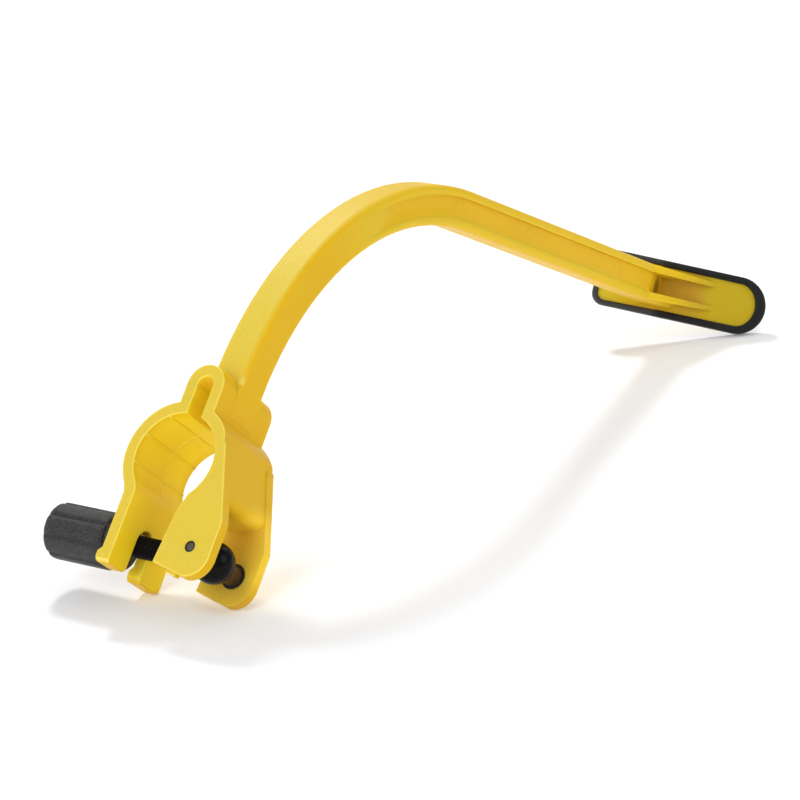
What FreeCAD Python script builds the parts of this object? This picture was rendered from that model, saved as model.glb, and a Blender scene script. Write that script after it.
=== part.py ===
"""Clamp-on curved arm with a rubber-edged paddle.

Everything is drawn in the clamp's own frame: X along the swing bolt, Y along the tube that the clamp
holds, Z from the jaws towards the flex loop. The finished pieces are then turned together into the
pose in which the arm lies on a floor, with the middle of the bore as the origin.
"""
import FreeCAD, Part
import math
import os
import re

import Sketcher
from FreeCAD import Placement, Rotation, Vector

DIMENSIONS = {
    # Clamp band: the bore, its wall and how deep it is along the tube
    "bore_radius": 16.0,
    "band_wall": 4.4,
    "clamp_depth": 33.0,
    # Flex loop on top of the band, and the slit that divides the moulding at its springy leg
    "loop_x": 1.6,
    "loop_height": 27.0,
    "loop_inner": 3.2,
    "loop_wall": 4.3,
    "flex_height": 24.0,
    "flex_slit": 0.3,
    # Fixed side: the thick wall that runs down from the band, and the two ears that carry the pivot pin
    "wall_fold": 36.0,
    "wall_inset": 0.5,
    "wall_low_z": 8.5,
    "wall_round": 4.0,
    "wall_tilt": 80.0,
    "wall_foot_z": 14.0,
    "ear_thick": 4.3,
    "ear_top_x": 17.9,
    "ear_top_z": 9.7,
    "ear_side_x": 28.5,
    "ear_kink_z": 18.9,
    "ear_round": 8.0,
    "ear_low_z": 39.8,
    "ear_toe_x": 7.0,
    "ear_toe_z": 36.9,
    "ear_waist_x": 9.0,
    "ear_waist_z": 18.0,
    "ear_bore_angle": 46.0,
    "pin_x": 19.7,
    "pin_z": 29.3,
    # Swinging side: a flat strip under the ring, forked for the bolt, with a lip at its end
    "jaw_inner": 10.6,
    "jaw_outer": 15.0,
    "jaw_bore_angle": 40.0,
    "jaw_back_angle": 38.0,
    "jaw_top_z": 15.5,
    "jaw_low_z": 40.6,
    "lip_top_z": 35.6,
    "lip_out": 1.5,
    "fork_width": 8.8,
    "fork_top_z": 23.8,
    # Arm: a rounded bar that rises from the loop, bends over and runs straight to the paddle
    "arm_width": 13.3,
    "arm_depth": 15.0,
    "arm_round": 2.2,
    "arm_x": 2.6,
    "arm_front": 9.1,
    "arm_foot": 31.0,
    "bend_start": 32.0,
    "bend_radius": 122.0,
    "arm_slope": 14.2,
    "arm_straight": 168.0,
    "root_low": 20.0,
    # Shallow recess between the arm's two flanges
    "flange": 3.4,
    "recess": 1.3,
    "recess_start": 42.0,
    # Paddle: a plate with one round end, set across the arm's end
    "paddle_turn": 52.5,
    "paddle_reach": 178.9,
    "paddle_tip_x": 28.8,
    "plate_half": 10.2,
    "plate_heel": 57.8,
    "plate_thick": 3.2,
    "plate_lift": 0.9,
    "heel_round": 3.4,
    # Two stiffening ribs from the arm's side onto the paddle
    "rib_start": 140.0,
    "rib_inset": 0.4,
    "rib_end_top": 6.8,
    "rib_end_low": 4.2,
    "rib_wall": 3.0,
    "rib_end_wall": 1.6,
    # The arm's web slopes down to the paddle between the ribs
    "web_start": 142.0,
    "web_end_x": 3.4,
    "web_end_reach": 159.4,
    "rib_end_x": 22.0,
    "rib_end_reach": 173.7,
    # Rubber edging: a channel pushed over the plate's edge, in two lengths
    "rim_out": 1.57,
    "rim_lap": 1.3,
    "rim_tip_lap": 1.6,
    "rim_thick": 5.6,
    "rim_round": 1.9,
    "rim_seam": 33.0,
    "rim_gap": 0.15,
    # Pivot pin with a thin front end, and the bush that carries it in the rear ear
    "pin_front": 2.05,
    "pin_shank": 3.5,
    "pin_recess": 0.3,
    "bush_outer": 4.6,
    # Swing bolt: ball eye and M8 rod
    "bolt_depth": 15.7,
    "ball_radius": 7.4,
    "rod_radius": 4.0,
    "rod_tip": 59.7,
    "rod_chamfer": 0.9,
    "running": 0.06,
    # Thrust washer, knob and the threaded insert inside it
    "washer_face": 38.2,
    "washer_radius": 9.6,
    "washer_thick": 2.7,
    "washer_bore": 4.3,
    "knob_near": 41.2,
    "knob_far": 67.9,
    "knob_radius": 10.0,
    "knob_chamfer": 2.2,
    "knob_edge": 1.2,
    "flute_radius": 0.9,
    "flute_count": 10,
    "insert_near": 41.4,
    "insert_length": 21.0,
    "insert_radius": 5.6,
    "cavity_end": 65.4,
    "cavity_radius": 4.4,
    # Pose on the floor: the tube's axis tips down by this much
    "rest_pitch": 40.93,
    # Rounding of the moulding's edges
    "edge_round": 0.5,
    "tine_round": 2.0,
}

doc = FreeCAD.newDocument("ClampOnArm")
sheet = doc.addObject("Spreadsheet::Sheet", "Dimensions")
for row, (alias, value) in enumerate(DIMENSIONS.items(), start=1):
    sheet.set(f"A{row}", alias.replace("_", " "))
    sheet.set(f"B{row}", str(value))
    sheet.setAlias(f"B{row}", alias)
doc.recompute()


def size(alias):
    """One driving dimension, read back from the sheet."""
    return float(sheet.get(alias))


def bound(text):
    """An expression in which every dimension's name points at its cell."""
    def cell(match):
        word = match.group(0)
        return f"Dimensions.{word}" if word in DIMENSIONS else word
    return re.sub(r"[a-z_]+", cell, str(text))


def worked_out(text):
    """The number that an expression gives."""
    return float(sheet.evalExpression(bound(text)))


def new_body(label):
    body = doc.addObject("PartDesign::Body", label)
    body.Label = label
    return body


def new_sketch(body, name, role, offset=None):
    """A sketch on one of the body's origin planes; offset is a placement expression in that plane."""
    plane = next(item for item in body.Origin.OriginFeatures if item.Role == role)
    sketch = body.newObject("Sketcher::SketchObject", name)
    sketch.AttachmentSupport = [(plane, "")]
    sketch.MapMode = "FlatFace"
    if offset:
        sketch.setExpression("AttachmentOffset", bound(offset))
    return sketch


def shift(x="0", y="0", z="0", yaw="0", pitch="0", roll="0"):
    """A placement expression from three distances and three angles."""
    return f"placement(vector({x}; {y}; {z}); rotation({yaw}; {pitch}; {roll}))"


def pin_point(sketch, geometry, point, x, y):
    """Hold a point at a place given by two expressions."""
    for kind, text in (("DistanceX", x), ("DistanceY", y)):
        index = sketch.addConstraint(Sketcher.Constraint(kind, -1, 1, geometry, point, worked_out(text)))
        sketch.setExpression(f"Constraints[{index}]", bound(text))


def corner(x, y):
    return {"x": x, "y": y}


def arc_to(x, y, centre, turn):
    """A corner reached by an arc about a centre; turn is +1 anticlockwise and -1 clockwise."""
    return {"x": x, "y": y, "centre": centre, "turn": turn}


def arc_between(start, end, centre, turn):
    """The arc from start to end about centre, with its middle point on the right side."""
    first = math.atan2(start.y - centre.y, start.x - centre.x)
    last = math.atan2(end.y - centre.y, end.x - centre.x)
    sweep = (last - first) * turn % (2 * math.pi)
    middle = first + turn * sweep / 2
    radius = start.distanceToPoint(centre)
    half_way = centre + Vector(math.cos(middle), math.sin(middle), 0) * radius
    return Part.Arc(start, half_way, end)


def draw(sketch, points, closed=True):
    """Lines and arcs through the points, every corner held by its own two expressions."""
    places = [Vector(worked_out(p["x"]), worked_out(p["y"]), 0) for p in points]
    sides = list(zip(range(len(points)), list(range(1, len(points))) + [0]))
    if not closed:
        sides.pop()
    made = []
    for first, last in sides:
        target = points[last]
        if "centre" not in target:
            index = sketch.addGeometry(Part.LineSegment(places[first], places[last]), False)
            made.append((index, 1, 2))
            continue
        middle = Vector(worked_out(target["centre"][0]), worked_out(target["centre"][1]), 0)
        arc = arc_between(places[first], places[last], middle, target["turn"])
        index = sketch.addGeometry(arc, False)
        # An arc always runs anticlockwise, so a clockwise side starts at its second point.
        made.append((index, 1, 2) if target["turn"] > 0 else (index, 2, 1))
    for number, (index, begin, end) in enumerate(made):
        if number + 1 < len(made) or closed:
            following = made[(number + 1) % len(made)]
            sketch.addConstraint(Sketcher.Constraint("Coincident", index, end, following[0], following[1]))
        pin_point(sketch, index, begin, points[sides[number][0]]["x"], points[sides[number][0]]["y"])
        target = points[sides[number][1]]
        if "centre" in target:
            run = places[sides[number][1]] - places[sides[number][0]]
            across = abs(run.x) > abs(run.y)
            kind, text = ("DistanceY", target["centre"][1]) if across else ("DistanceX", target["centre"][0])
            held = sketch.addConstraint(Sketcher.Constraint(kind, -1, 1, index, 3, worked_out(text)))
            sketch.setExpression(f"Constraints[{held}]", bound(text))
    if not closed:
        pin_point(sketch, made[-1][0], made[-1][2], points[-1]["x"], points[-1]["y"])


def circle(sketch, radius, x="0", y="0"):
    place = Vector(worked_out(x), worked_out(y), 0)
    index = sketch.addGeometry(Part.Circle(place, Vector(0, 0, 1), worked_out(radius)), False)
    pin_point(sketch, index, 3, x, y)
    held = sketch.addConstraint(Sketcher.Constraint("Radius", index, worked_out(radius)))
    sketch.setExpression(f"Constraints[{held}]", bound(radius))


def feature(body, kind, name, profile, reverse=False, through=False, **sizes):
    """A sketch-based feature with its sizes bound; it must change the body's volume."""
    before = body.Shape.Volume if body.Tip else 0.0
    item = body.newObject(f"PartDesign::{kind}", name)
    item.Profile = profile
    if reverse:
        item.Reversed = True
    if through:
        item.Type = "ThroughAll"
    for key, text in sizes.items():
        item.setExpression(key, bound(text))
    profile.Visibility = False
    doc.recompute()
    change = body.Shape.Volume - before
    wrong_way = change >= 0 if kind in ("Pocket", "Groove") else change <= 0
    if wrong_way or not body.Shape.isValid():
        raise RuntimeError(f"{body.Label}: {name} changed the volume by {change:.1f}")
    return item


def soften(body, name, radius, wanted):
    """Round the edges that the test picks."""
    base = body.Tip
    edges = [f"Edge{n}" for n, edge in enumerate(base.Shape.Edges, start=1) if wanted(edge)]
    fillet = body.newObject("PartDesign::Fillet", name)
    fillet.Base = (base, edges)
    fillet.setExpression("Radius", bound(radius))
    doc.recompute()
    if fillet.Shape.isNull() or not fillet.Shape.isValid():
        raise RuntimeError(f"{body.Label}: {name} failed")
    return fillet


def round_end_faces(body):
    """Round the outlines of the clamp's front and rear faces."""
    soften(body, "FrontRounds", "edge_round", lambda edge: lies_at(edge, "y", 0))
    soften(body, "RearRounds", "edge_round", lambda edge: lies_at(edge, "y", size("clamp_depth")))


def lies_at(edge, axis, value):
    """Whether an edge stays in the plane where the coordinate x, y or z has a value."""
    box = edge.BoundBox
    low, high = {"x": (box.XMin, box.XMax), "y": (box.YMin, box.YMax), "z": (box.ZMin, box.ZMax)}[axis]
    return abs(low - value) < 1e-4 and abs(high - value) < 1e-4


def revolve(body, name, profile):
    """Turn a profile about its sketch's own horizontal axis."""
    item = body.newObject("PartDesign::Revolution", name)
    item.Profile = profile
    item.ReferenceAxis = (profile, ["H_Axis"])
    item.Angle = 360
    profile.Visibility = False
    doc.recompute()
    return item


# Places that several pieces share, as expressions in the clamp's frame
BAND_OUTER = "(bore_radius + band_wall)"
LOOP_OUTER = "(loop_inner + loop_wall)"
LOOP_LEFT = f"(loop_x - {LOOP_OUTER})"
LOOP_RIGHT = f"(loop_x + {LOOP_OUTER})"
SLOT_LEFT = "(loop_x - loop_inner)"
SLOT_RIGHT = "(loop_x + loop_inner)"
SLIT_TOP = "(flex_height + flex_slit / 2)"
SLIT_LOW = "(flex_height - flex_slit / 2)"
MIDDLE_RADIUS = "(bend_radius - arm_depth / 2)"
BEND_Y = "(arm_front + bend_radius)"
# Middle of the arm where the straight part begins, and the middle of the paddle's round end
STRAIGHT_Y = f"({BEND_Y} - {MIDDLE_RADIUS} * sin(arm_slope))"
STRAIGHT_Z = f"(bend_start + {MIDDLE_RADIUS} * cos(arm_slope))"
TIP_Y = f"({STRAIGHT_Y} + paddle_reach * cos(arm_slope))"
TIP_Z = f"({STRAIGHT_Z} + paddle_reach * sin(arm_slope))"


def on_circle(radius, angle):
    """A point of a circle about the bore's axis, as two expressions."""
    return f"{radius} * cos({angle})", f"{radius} * sin({angle})"


def height_on(radius, x):
    """How high a circle about the bore's axis stands at a given x."""
    return f"sqrt({radius} * {radius} - {x} * {x})"


# ---------------------------------------------------------------- fixed side, arm and paddle, one moulding

def ear_points():
    toe = corner("ear_toe_x", "-ear_toe_z")
    low_x = "(ear_side_x - ear_round)"
    low_centre = (low_x, "-(ear_low_z - ear_round)")
    waist = corner("ear_waist_x", "-ear_waist_z")
    bore_x, bore_z = on_circle("bore_radius", "-ear_bore_angle")
    return [
        corner("ear_top_x", "ear_top_z"),
        corner("ear_side_x", "-ear_kink_z"),
        corner("ear_side_x", "-(ear_low_z - ear_round)"),
        arc_to(low_x, "-ear_low_z", low_centre, -1),
        toe,
        waist,
        corner(bore_x, bore_z),
        arc_to("bore_radius", "0", ("0", "0"), 1),
        corner("bore_radius + band_wall / 2", "ear_top_z / 2"),
    ]


def clamp_arm():
    body = new_body("clamp_arm")
    band = new_sketch(body, "BandOutline", "XZ_Plane")
    wall_top = on_circle(BAND_OUTER, "wall_fold")
    wall_side = ("(ear_top_x + (ear_top_z + wall_low_z) / (ear_top_z + ear_kink_z) * (ear_side_x - ear_top_x)"
                 " - wall_inset)")
    wall_centre = (f"({wall_side} - wall_round)", "-wall_low_z")
    wall_inner = on_circle("bore_radius", "-ear_bore_angle")
    foot_share = f"((wall_foot_z + {wall_inner[1]}) / (ear_waist_z + {wall_inner[1]}))"
    draw(band, [
        corner(LOOP_LEFT, SLIT_TOP),
        corner(LOOP_LEFT, "loop_height"),
        arc_to(LOOP_RIGHT, "loop_height", ("loop_x", "loop_height"), -1),
        corner(LOOP_RIGHT, height_on(BAND_OUTER, LOOP_RIGHT)),
        arc_to(wall_top[0], wall_top[1], ("0", "0"), -1),
        corner(wall_side, "-wall_low_z"),
        arc_to(f"{wall_centre[0]} + wall_round * cos(wall_tilt)", "-wall_low_z - wall_round * sin(wall_tilt)",
               wall_centre, -1),
        corner(f"{wall_inner[0]} + {foot_share} * (ear_waist_x - {wall_inner[0]})", "-wall_foot_z"),
        corner(wall_inner[0], wall_inner[1]),
        arc_to(SLOT_RIGHT, height_on("bore_radius", SLOT_RIGHT), ("0", "0"), 1),
        corner(SLOT_RIGHT, "loop_height"),
        arc_to(SLOT_LEFT, "loop_height", ("loop_x", "loop_height"), 1),
        corner(SLOT_LEFT, SLIT_TOP),
    ])
    feature(body, "Pad", "Band", band, reverse=True, Length="clamp_depth")

    front = new_sketch(body, "FrontEarOutline", "XZ_Plane")
    draw(front, ear_points())
    feature(body, "Pad", "FrontEar", front, reverse=True, Length="ear_thick")
    rear = new_sketch(body, "RearEarOutline", "XZ_Plane", shift(z="-(clamp_depth - ear_thick)"))
    draw(rear, ear_points())
    feature(body, "Pad", "RearEar", rear, reverse=True, Length="ear_thick")
    round_end_faces(body)

    # The arm's foot runs down the outside of the loop's stiff leg.
    root = new_sketch(body, "RootOutline", "YZ_Plane", shift(z="loop_x"))
    draw(root, [
        corner("arm_front", "root_low"),
        corner("arm_front + arm_depth", "root_low"),
        corner("arm_front + arm_depth", "bend_start"),
        corner("arm_front", "bend_start"),
    ])
    slot = new_sketch(body, "LoopSlot", "XZ_Plane")
    feature(body, "Pad", "Root", root, Length="arm_x + arm_width / 2 - loop_x")
    draw(slot, [
        corner(SLOT_RIGHT, "root_low - 4"),
        corner(SLOT_RIGHT, "loop_height"),
        arc_to(SLOT_LEFT, "loop_height", ("loop_x", "loop_height"), 1),
        corner(SLOT_LEFT, "root_low - 4"),
    ])
    feature(body, "Pocket", "LoopOpening", slot, reverse=False, through=True)

    section = new_sketch(body, "ArmSection", "XY_Plane", shift(z="arm_foot"))
    rounded_box(section, "arm_x", "arm_front + arm_depth / 2", "arm_width / 2", "arm_depth / 2", "arm_round")
    spine = new_sketch(body, "ArmPath", "YZ_Plane", shift(z="arm_x"))
    path = [
        corner("arm_front + arm_depth / 2", "arm_foot"),
        corner("arm_front + arm_depth / 2", "bend_start"),
        arc_to(STRAIGHT_Y, STRAIGHT_Z, (BEND_Y, "bend_start"), -1),
        corner(f"{STRAIGHT_Y} + arm_straight * cos(arm_slope)", f"{STRAIGHT_Z} + arm_straight * sin(arm_slope)"),
    ]
    draw(spine, path, closed=False)
    doc.recompute()
    pipe = body.newObject("PartDesign::AdditivePipe", "Arm")
    pipe.Profile = section
    pipe.Spine = (spine, [])
    doc.recompute()

    for name, sign in (("RightRecess", 1), ("LeftRecess", -1)):
        add_recess(body, name, sign)
    add_ribs(body)

    # Everything past the paddle's face goes, and the plate takes its place.
    beyond = new_sketch(body, "BeyondPaddle", "YZ_Plane", paddle_face("plate_lift"))
    draw(beyond, [corner("-80", "-40"), corner("40", "-40"), corner("40", "40"), corner("-80", "40")])
    feature(body, "Pocket", "PaddleCut", beyond, Length="60")
    plate = new_sketch(body, "PlateOutline", "YZ_Plane", paddle_face("plate_lift"))
    draw(plate, plate_points("plate_half", "plate_heel", "heel_round"))
    feature(body, "Pad", "Plate", plate, reverse=True, Length="plate_thick")

    pin_hole = new_sketch(body, "PinHole", "XZ_Plane")
    circle(pin_hole, "pin_front", "pin_x", "-pin_z")
    feature(body, "Pocket", "FrontPinHole", pin_hole, reverse=False, Length="ear_thick + 1")
    bush_hole = new_sketch(body, "BushHole", "XZ_Plane", shift(z="-clamp_depth"))
    circle(bush_hole, "bush_outer", "pin_x", "-pin_z")
    feature(body, "Pocket", "RearBushHole", bush_hole, reverse=True, Length="ear_thick + 1")
    return body


def rounded_box(sketch, x, y, half_x, half_y, radius):
    """A rectangle with four rounded corners."""
    left, right = f"({x} - {half_x})", f"({x} + {half_x})"
    low, high = f"({y} - {half_y})", f"({y} + {half_y})"
    near_left, near_right = f"({left} + {radius})", f"({right} - {radius})"
    near_low, near_high = f"({low} + {radius})", f"({high} - {radius})"
    draw(sketch, [
        arc_to(near_left, low, (near_left, near_low), 1),
        corner(near_right, low),
        arc_to(right, near_low, (near_right, near_low), 1),
        corner(right, near_high),
        arc_to(near_right, high, (near_right, near_high), 1),
        corner(near_left, high),
        arc_to(left, near_high, (near_left, near_high), 1),
        corner(left, near_low),
    ])


def add_recess(body, name, sign):
    """The shallow recess in one side of the arm, from part way round the bend to the paddle."""
    outer = "(bend_radius - flange)"
    inner = "(bend_radius - arm_depth + flange)"
    reach = "(arm_straight + 30)"

    def bend_point(radius, angle):
        return f"{BEND_Y} - {radius} * cos({angle})", f"bend_start + {radius} * sin({angle})"

    def straight_point(radius, along):
        return (f"{BEND_Y} - {radius} * sin(arm_slope) + {along} * cos(arm_slope)",
                f"bend_start + {radius} * cos(arm_slope) + {along} * sin(arm_slope)")

    centre = (BEND_Y, "bend_start")
    start_outer = bend_point(outer, "recess_start")
    start_inner = bend_point(inner, "recess_start")
    turn_outer = straight_point(outer, "0")
    turn_inner = straight_point(inner, "0")
    end_outer = straight_point(outer, reach)
    end_inner = straight_point(inner, reach)
    floor = f"arm_x + {sign} * (arm_width / 2 - recess)"
    sketch = new_sketch(body, name + "Outline", "YZ_Plane", shift(z=floor))
    draw(sketch, [
        corner(*start_outer),
        arc_to(turn_outer[0], turn_outer[1], centre, -1),
        corner(*end_outer),
        corner(*end_inner),
        corner(*turn_inner),
        arc_to(start_inner[0], start_inner[1], centre, 1),
    ])
    feature(body, "Pocket", name, sketch, reverse=sign > 0, Length="40")


def add_ribs(body):
    """Two ribs that carry the arm's flanges on along the paddle, drawing together as they sink into it."""
    side_x = "(arm_x + arm_width / 2)"
    base = "(arm_depth / 2 - rib_inset)"
    end = "(rib_end_reach + 4)"

    def seen_from_side(name, lift):
        return new_sketch(body, name, "YZ_Plane", shift(x=STRAIGHT_Y, y=STRAIGHT_Z, z=lift, yaw="arm_slope"))

    def seen_from_above(name, lift):
        return new_sketch(body, name, "XY_Plane", shift(
            y=f"{STRAIGHT_Y} - {lift} * sin(arm_slope)", z=f"{STRAIGHT_Z} + {lift} * cos(arm_slope)",
            roll="arm_slope"))

    block = seen_from_side("RibBlockOutline", f"{side_x} - recess")
    draw(block, [
        corner("rib_start", f"-{base}"),
        corner(end, "-rib_end_low"),
        corner(end, "rib_end_top"),
        corner("rib_start", base),
    ])
    feature(body, "Pad", "RibBlock", block, Length=f"rib_end_x - {side_x} + recess")
    between = seen_from_side("RibPocketOutline", f"{side_x} - recess")
    draw(between, [
        corner("rib_start - 1", f"-({base} - rib_wall)"),
        corner(end, "-(rib_end_low - rib_end_wall)"),
        corner(end, "rib_end_top - rib_end_wall"),
        corner("rib_start - 1", f"{base} - rib_wall"),
    ])
    feature(body, "Pocket", "RibPocket", between, reverse=True, Length="40")
    web_half = f"({base} - rib_wall)"
    web = seen_from_above("WebSlopeOutline", web_half)
    draw(web, [
        corner(f"{side_x} - recess + 0.1", "web_start"),
        corner("web_end_x", "web_end_reach"),
        corner("web_end_x", "rib_end_reach"),
        corner(f"{side_x} - recess + 0.1", "rib_end_reach"),
    ])
    feature(body, "Pocket", "WebSlope", web, Length=f"2 * {web_half}")
    crest = seen_from_above("CrestOutline", "20")
    draw(crest, [
        corner(side_x, "rib_start"),
        corner("rib_end_x", "rib_end_reach"),
        corner("rib_end_x + 1", "rib_end_reach"),
        corner("rib_end_x + 1", "rib_start - 1"),
        corner(side_x, "rib_start - 1"),
    ])
    feature(body, "Pocket", "RibCrests", crest, Length="40")


def plate_points(half, heel, radius):
    """Outline of the paddle in its own plane: round tip about the origin, square heel with round corners."""
    return [
        corner("0", f"-{half}"),
        arc_to("0", half, ("0", "0"), 1),
        corner(f"-({heel} - {radius})", half),
        arc_to(f"-{heel}", f"{half} - {radius}", (f"-({heel} - {radius})", f"{half} - {radius}"), 1),
        corner(f"-{heel}", f"-({half} - {radius})"),
        arc_to(f"-({heel} - {radius})", f"-{half}", (f"-({heel} - {radius})", f"-({half} - {radius})"), 1),
    ]


def paddle_face(lift="0"):
    """The paddle's own plane: tip centre, length along the sketch's x, lifted off the face along its normal."""
    return shift(x=f"{TIP_Y} - {lift} * sin(paddle_turn) * cos(arm_slope)",
                 y=f"{TIP_Z} - {lift} * sin(paddle_turn) * sin(arm_slope)",
                 z=f"paddle_tip_x + {lift} * cos(paddle_turn)",
                 yaw="arm_slope", pitch="-paddle_turn")


# ---------------------------------------------------------------- rubber edging

def rim(label, outline, window, end):
    """A channel over the plate's edge: a rounded slab, opened in the middle and slotted for the plate."""
    body = new_body(label)
    front = "(plate_lift + (rim_thick - plate_thick) / 2)"
    slab = new_sketch(body, label + "_outline", "YZ_Plane", paddle_face(front))
    draw(slab, outline)
    feature(body, "Pad", label + "_slab", slab, reverse=True, Length="rim_thick")
    to_plane = slab.Placement.inverse()
    seam = -worked_out(end)

    def is_long_edge(edge):
        places = [to_plane.multVec(vertex.Point) for vertex in edge.Vertexes]
        across = abs(places[0].z - places[1].z) > 1e-4
        return not across and not all(abs(place.x - seam) < 1e-4 for place in places)

    soften(body, label + "_rounds", "rim_round", is_long_edge)
    opening = new_sketch(body, label + "_window", "YZ_Plane", paddle_face(front))
    draw(opening, window)
    feature(body, "Pocket", label + "_opening", opening, Length="rim_thick + 1")
    plate = new_sketch(body, label + "_plate", "YZ_Plane", paddle_face("plate_lift"))
    draw(plate, plate_points("plate_half", "plate_heel", "heel_round"))
    feature(body, "Pocket", label + "_slot", plate, Length="plate_thick")
    return body


RIM_HALF = "(plate_half + rim_out)"
RIM_INNER = "(plate_half - rim_lap)"


def rim_tip():
    return rim("rim_tip", [
        corner("-rim_seam", f"-{RIM_HALF}"),
        corner("0", f"-{RIM_HALF}"),
        arc_to("0", RIM_HALF, ("0", "0"), 1),
        corner("-rim_seam", RIM_HALF),
    ], [
        corner("-(rim_seam + 1)", f"-{RIM_INNER}"),
        corner("-rim_tip_lap", f"-{RIM_INNER}"),
        arc_to("-rim_tip_lap", RIM_INNER, ("-rim_tip_lap", "0"), 1),
        corner("-(rim_seam + 1)", RIM_INNER),
    ], "rim_seam")


def rim_heel():
    def u_shape(half, heel, radius, front):
        inside, back = f"({half} - {radius})", f"({heel} - {radius})"
        return [
            corner(f"-{front}", half),
            corner(f"-{back}", half),
            arc_to(f"-{heel}", inside, (f"-{back}", inside), 1),
            corner(f"-{heel}", f"-{inside}"),
            arc_to(f"-{back}", f"-{half}", (f"-{back}", f"-{inside}"), 1),
            corner(f"-{front}", f"-{half}"),
        ]
    return rim("rim_heel",
               u_shape(RIM_HALF, "(plate_heel + rim_out)", "(heel_round + rim_out)", "(rim_seam + rim_gap)"),
               u_shape(RIM_INNER, "(plate_heel - rim_lap)", "(heel_round - rim_lap)", "(rim_seam - 1)"),
               "rim_seam + rim_gap")


# ---------------------------------------------------------------- swinging jaw

def clamp_jaw():
    body = new_body("clamp_jaw")
    outline = new_sketch(body, "JawOutline", "XZ_Plane")
    back_x, back_z = on_circle(BAND_OUTER, "(180 + jaw_back_angle)")
    bore_x, bore_z = on_circle("bore_radius", "(180 + jaw_bore_angle)")
    lip_x = "(jaw_outer + lip_out)"
    draw(outline, [
        corner(LOOP_LEFT, SLIT_LOW),
        corner(LOOP_LEFT, height_on(BAND_OUTER, LOOP_LEFT)),
        arc_to(back_x, back_z, ("0", "0"), 1),
        corner("-jaw_outer", "-jaw_top_z"),
        corner("-jaw_outer", "-lip_top_z"),
        corner(f"-{lip_x}", "-(lip_top_z + lip_out)"),
        corner(f"-{lip_x}", "-jaw_low_z"),
        corner("-jaw_inner", "-jaw_low_z"),
        corner("-jaw_inner", "-(jaw_top_z - 2)"),
        corner(bore_x, bore_z),
        arc_to(SLOT_LEFT, height_on("bore_radius", SLOT_LEFT), ("0", "0"), -1),
        corner(SLOT_LEFT, SLIT_LOW),
    ])
    feature(body, "Pad", "JawBand", outline, reverse=True, Length="clamp_depth")
    fork = new_sketch(body, "ForkOutline", "YZ_Plane", shift(z="-(jaw_outer + lip_out + 1)"))
    near, far = "(bolt_depth - fork_width / 2)", "(bolt_depth + fork_width / 2)"
    centre = ("bolt_depth", "-(fork_top_z + fork_width / 2)")
    draw(fork, [
        corner(near, "-(jaw_low_z + 1)"),
        corner(far, "-(jaw_low_z + 1)"),
        corner(far, centre[1]),
        arc_to(near, centre[1], centre, 1),
    ])
    feature(body, "Pocket", "Fork", fork, reverse=True, Length="lip_out + jaw_outer - jaw_inner + 3")
    low = -size("jaw_low_z")
    soften(body, "TineCorners", "tine_round",
           lambda edge: lies_at(edge, "z", low) and edge.BoundBox.YLength < 1e-4)
    round_end_faces(body)
    return body


# ---------------------------------------------------------------- pin, bush, bolt, washer and knob

def pivot_pin():
    body = new_body("pivot_pin")
    thin = new_sketch(body, "FrontEnd", "XZ_Plane", shift(z="-pin_recess"))
    circle(thin, "pin_front", "pin_x", "-pin_z")
    feature(body, "Pad", "ThinEnd", thin, reverse=True, Length="ear_thick + 1")
    thick = new_sketch(body, "ShankCircle", "XZ_Plane", shift(z="-(ear_thick + pin_recess)"))
    circle(thick, "pin_shank", "pin_x", "-pin_z")
    feature(body, "Pad", "Shank", thick, reverse=True, Length="clamp_depth - ear_thick - 2 * pin_recess")
    return body


def pin_bush():
    body = new_body("pin_bush")
    ring = new_sketch(body, "BushRing", "XZ_Plane", shift(z="-(clamp_depth - ear_thick)"))
    circle(ring, "bush_outer", "pin_x", "-pin_z")
    circle(ring, "pin_shank", "pin_x", "-pin_z")
    feature(body, "Pad", "Bush", ring, reverse=True, Length="ear_thick")
    return body


def swing_bolt():
    body = new_body("swing_bolt")
    profile = new_sketch(body, "BoltProfile", "XY_Plane", shift(y="bolt_depth", z="-pin_z"))
    tip = "(pin_x - rod_tip)"
    draw(profile, [
        corner(tip, "0"),
        corner("pin_x + ball_radius", "0"),
        arc_to("pin_x - sqrt(ball_radius * ball_radius - rod_radius * rod_radius)", "rod_radius",
               ("pin_x", "0"), 1),
        corner(f"{tip} + rod_chamfer", "rod_radius"),
        corner(tip, "rod_radius - rod_chamfer"),
    ])
    revolve(body, "BallAndRod", profile)
    eye = new_sketch(body, "EyeCircle", "XZ_Plane")
    circle(eye, "pin_shank + running", "pin_x", "-pin_z")
    feature(body, "Pocket", "Eye", eye, through=True)
    return body


def rod_section(body, name, distance):
    """A sketch square to the rod, at a distance from the pin."""
    return new_sketch(body, name, "YZ_Plane", shift(x="bolt_depth", y="-pin_z", z=f"pin_x - {distance}"))


def thrust_washer():
    body = new_body("thrust_washer")
    ring = rod_section(body, "WasherRing", "washer_face")
    circle(ring, "washer_radius")
    circle(ring, "washer_bore")
    feature(body, "Pad", "Washer", ring, reverse=True, Length="washer_thick")
    return body


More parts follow.
